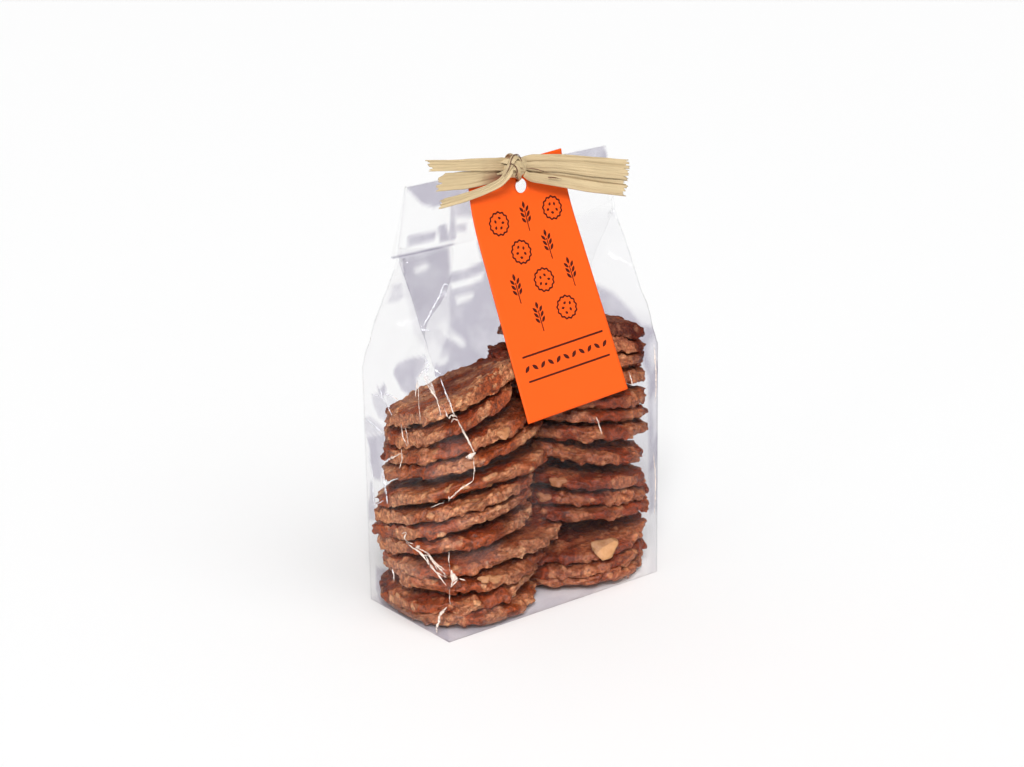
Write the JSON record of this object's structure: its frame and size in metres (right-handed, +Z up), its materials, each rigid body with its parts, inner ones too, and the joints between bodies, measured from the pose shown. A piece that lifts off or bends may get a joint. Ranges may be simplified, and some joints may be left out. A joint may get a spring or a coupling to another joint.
{
  "type": "bag of florentine cookies",
  "caption": "Clear side-gusset bag of stacked thin oat florentine cookies, folded over at the top and tied with raffia through a plain card tag.",
  "frame": {"origin": "middle of the flat base", "axes": "+X across the wide front, the front faces -Y, +Z up"},
  "size_m": [0.129, 0.0724, 0.2102],
  "materials": {
    "film": "clear glossy film",
    "tag_card": "matt coated card",
    "raffia": "dry palm fibre",
    "cookie": "baked oat and caramel"
  },
  "bodies": {
    "root": {"bag_of_cookies": "film", "tag": "tag_card", "raffia_knot": "raffia", "raffia_tail_upper_left": "raffia", "raffia_tail_middle_left": "raffia", "raffia_tail_lower_left": "raffia", "raffia_ribbon_top_right": "raffia", "raffia_ribbon_upper_right": "raffia", "raffia_ribbon_middle_right": "raffia", "raffia_ribbon_lower_right": "raffia"}
  },
  "joints": []
}
